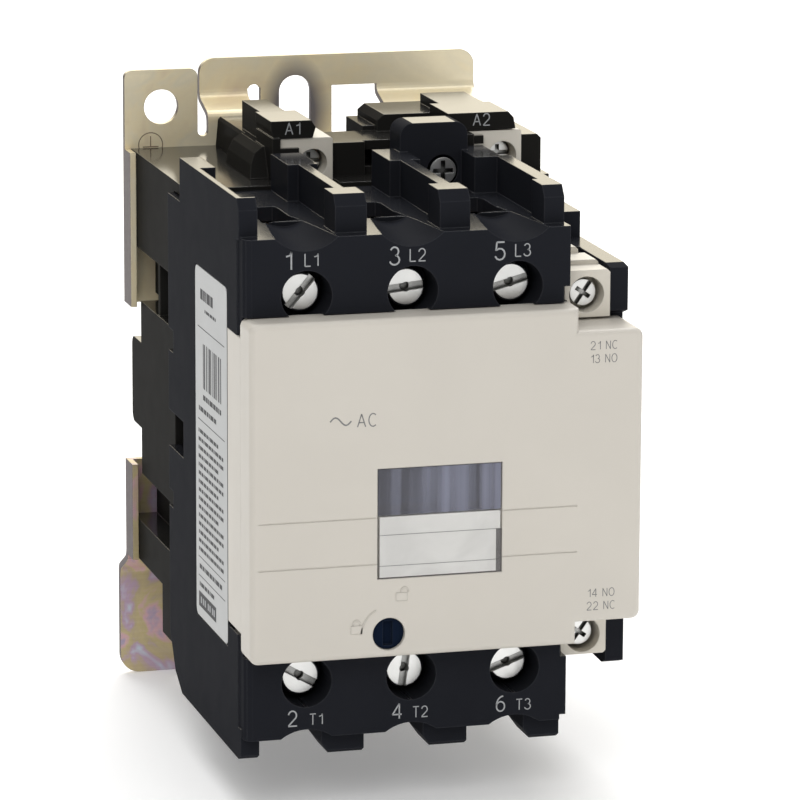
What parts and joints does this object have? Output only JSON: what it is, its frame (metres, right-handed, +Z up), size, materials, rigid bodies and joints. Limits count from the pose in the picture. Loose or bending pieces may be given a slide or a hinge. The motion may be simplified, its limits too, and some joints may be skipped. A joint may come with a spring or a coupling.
{
  "type": "three-pole contactor",
  "caption": "Electromagnetic contactor for a mounting rail: sprung magnet and contact carrier, cage clamp terminals with phase barriers, snap cover with window, side auxiliary contacts.",
  "frame": {"origin": "on the rear mounting plane, mid width, on the centre line of the 35 mm mounting rail", "axes": "+X to the right seen from the front, +Y from the front cover towards the wall, +Z up"},
  "size_m": [0.075, 0.114, 0.127],
  "materials": {
    "black_plastic": "fine satin moulded",
    "grey_plastic": "satin moulded",
    "beige_plastic": "fine spark-eroded",
    "cream_plastic": "satin moulded",
    "carrier_plastic": "satin moulded",
    "bobbin_plastic": "satin moulded",
    "plated_sheet": "yellow passivated zinc",
    "screw_steel": "bright zinc",
    "cage_steel": "zinc plated",
    "spring_steel": "drawn wire",
    "core_steel": "laminated, ground pole faces",
    "arc_steel": "pressed",
    "copper": "tinned at the ends",
    "winding_wire": "enamelled wire",
    "cushion_rubber": "matt",
    "clear_window": "smoky, polished",
    "clear_marker": "clear, polished",
    "card_white": "matt card",
    "label_film": "printed film",
    "latch_plastic": "satin moulded"
  },
  "bodies": {
    "housing": {"arc_cover": "beige_plastic", "arc_plates_lower": "arc_steel", "arc_plates_upper": "arc_steel", "aux_fixed_contacts": "copper", "aux_housing": "black_plastic", "aux_screws": "screw_steel", "aux_terminal_block_lower": "cream_plastic", "aux_terminal_block_upper": "cream_plastic", "coil_bobbin": "bobbin_plastic", "coil_terminal_block_a1": "cream_plastic", "coil_terminal_block_a2": "cream_plastic", "coil_terminal_housing": "grey_plastic", "coil_terminal_plates": "cage_steel", "coil_terminal_screws": "screw_steel", "coil_winding": "winding_wire", "core_cushions": "cushion_rubber", "fixed_core": "core_steel", "front_cover": "beige_plastic", "housing_screws": "screw_steel", "line_contact_1": "copper", "line_contact_2": "copper", "line_contact_3": "copper", "load_contact_1": "copper", "load_contact_2": "copper", "load_contact_3": "copper", "lower_mounting_plate": "plated_sheet", "magnet_base": "grey_plastic", "marker_card": "card_white", "marker_holder": "clear_marker", "plate_screws": "screw_steel", "pole_housing": "black_plastic", "rail_clip_spring": "spring_steel", "rating_label": "label_film", "return_springs": "spring_steel", "shading_rings": "copper", "status_window": "clear_window", "upper_mounting_plate": "plated_sheet"},
    "carrier": {"contact_carrier": "carrier_plastic", "armature": "core_steel", "armature_pin": "screw_steel", "contact_springs": "spring_steel"},
    "aux_carriage": {"aux_slider": "carrier_plastic", "aux_bridges": "copper"},
    "clip": {"rail_clip": "plated_sheet"},
    "latch": {"cover_latch": "latch_plastic"},
    "bridge_1": {"bridge_contact_1": "copper"},
    "bridge_2": {"bridge_contact_2": "copper"},
    "bridge_3": {"bridge_contact_3": "copper"},
    "line_1_screw": {"line_screw_1": "screw_steel"},
    "line_1_cage": {"line_cage_1": "cage_steel"},
    "line_2_screw": {"line_screw_2": "screw_steel"},
    "line_2_cage": {"line_cage_2": "cage_steel"},
    "line_3_screw": {"line_screw_3": "screw_steel"},
    "line_3_cage": {"line_cage_3": "cage_steel"},
    "load_1_screw": {"load_screw_1": "screw_steel"},
    "load_1_cage": {"load_cage_1": "cage_steel"},
    "load_2_screw": {"load_screw_2": "screw_steel"},
    "load_2_cage": {"load_cage_2": "cage_steel"},
    "load_3_screw": {"load_screw_3": "screw_steel"},
    "load_3_cage": {"load_cage_3": "cage_steel"}
  },
  "joints": [
    {"name": "carrier_travel", "type": "slide", "parent": "housing", "child": "carrier", "axis": [0, 1, 0], "range_m": [0, 0.0058], "stiffness_N_per_m": 1500, "springref_m": -0.004, "deforming": ["return_springs", "contact_springs"]},
    {"name": "bridge_1_close", "type": "slide", "parent": "housing", "child": "bridge_1", "axis": [0, 1, 0], "range_m": [0, 0.0049]},
    {"name": "bridge_2_close", "type": "slide", "parent": "housing", "child": "bridge_2", "axis": [0, 1, 0], "range_m": [0, 0.0049]},
    {"name": "bridge_3_close", "type": "slide", "parent": "housing", "child": "bridge_3", "axis": [0, 1, 0], "range_m": [0, 0.0049]},
    {"name": "aux_travel", "type": "slide", "parent": "housing", "child": "aux_carriage", "axis": [0, 1, 0], "range_m": [0, 0.0038]},
    {"name": "clip_slide", "type": "slide", "parent": "housing", "child": "clip", "axis": [0, 0, -1], "range_m": [0, 0.005], "stiffness_N_per_m": 2000, "springref_m": -0.002, "deforming": ["rail_clip_spring"]},
    {"name": "latch_turn", "type": "hinge", "parent": "housing", "child": "latch", "pos_m": [-0.01125, -0.1125, -0.0273], "axis": [0, 1, 0], "range_deg": [0, 90]},
    {"name": "line_cage_1_lift", "type": "slide", "parent": "housing", "child": "line_1_cage", "axis": [0, -1, 0], "range_m": [0, 0.003]},
    {"name": "line_screw_1_turn", "type": "hinge", "parent": "housing", "child": "line_1_screw", "pos_m": [-0.0255, -0.098, 0.0358], "axis": [0, 1, 0], "range_deg": [0, 864.5]},
    {"name": "line_cage_2_lift", "type": "slide", "parent": "housing", "child": "line_2_cage", "axis": [0, -1, 0], "range_m": [0, 0.003]},
    {"name": "line_screw_2_turn", "type": "hinge", "parent": "housing", "child": "line_2_screw", "pos_m": [-0.0054, -0.098, 0.0358], "axis": [0, 1, 0], "range_deg": [0, 864.5]},
    {"name": "line_cage_3_lift", "type": "slide", "parent": "housing", "child": "line_3_cage", "axis": [0, -1, 0], "range_m": [0, 0.003]},
    {"name": "line_screw_3_turn", "type": "hinge", "parent": "housing", "child": "line_3_screw", "pos_m": [0.0147, -0.098, 0.0358], "axis": [0, 1, 0], "range_deg": [0, 864.5]},
    {"name": "load_cage_1_lift", "type": "slide", "parent": "housing", "child": "load_1_cage", "axis": [0, -1, 0], "range_m": [0, 0.003]},
    {"name": "load_screw_1_turn", "type": "hinge", "parent": "housing", "child": "load_1_screw", "pos_m": [-0.0255, -0.098, -0.037], "axis": [0, 1, 0], "range_deg": [0, 864.5]},
    {"name": "load_cage_2_lift", "type": "slide", "parent": "housing", "child": "load_2_cage", "axis": [0, -1, 0], "range_m": [0, 0.003]},
    {"name": "load_screw_2_turn", "type": "hinge", "parent": "housing", "child": "load_2_screw", "pos_m": [-0.0054, -0.098, -0.037], "axis": [0, 1, 0], "range_deg": [0, 864.5]},
    {"name": "load_cage_3_lift", "type": "slide", "parent": "housing", "child": "load_3_cage", "axis": [0, -1, 0], "range_m": [0, 0.003]},
    {"name": "load_screw_3_turn", "type": "hinge", "parent": "housing", "child": "load_3_screw", "pos_m": [0.0147, -0.098, -0.037], "axis": [0, 1, 0], "range_deg": [0, 864.5]}
  ],
  "couplings": [
    {"joint": "bridge_1_close", "follows": "carrier_travel", "ratio": 0.8448},
    {"joint": "bridge_2_close", "follows": "carrier_travel", "ratio": 0.8448},
    {"joint": "bridge_3_close", "follows": "carrier_travel", "ratio": 0.8448},
    {"joint": "aux_travel", "follows": "carrier_travel", "ratio": 0.655},
    {"joint": "line_screw_1_turn", "follows": "line_cage_1_lift", "rad_per_m": 5026.5},
    {"joint": "line_screw_2_turn", "follows": "line_cage_2_lift", "rad_per_m": 5026.5},
    {"joint": "line_screw_3_turn", "follows": "line_cage_3_lift", "rad_per_m": 5026.5},
    {"joint": "load_screw_1_turn", "follows": "load_cage_1_lift", "rad_per_m": 5026.5},
    {"joint": "load_screw_2_turn", "follows": "load_cage_2_lift", "rad_per_m": 5026.5},
    {"joint": "load_screw_3_turn", "follows": "load_cage_3_lift", "rad_per_m": 5026.5}
  ]
}
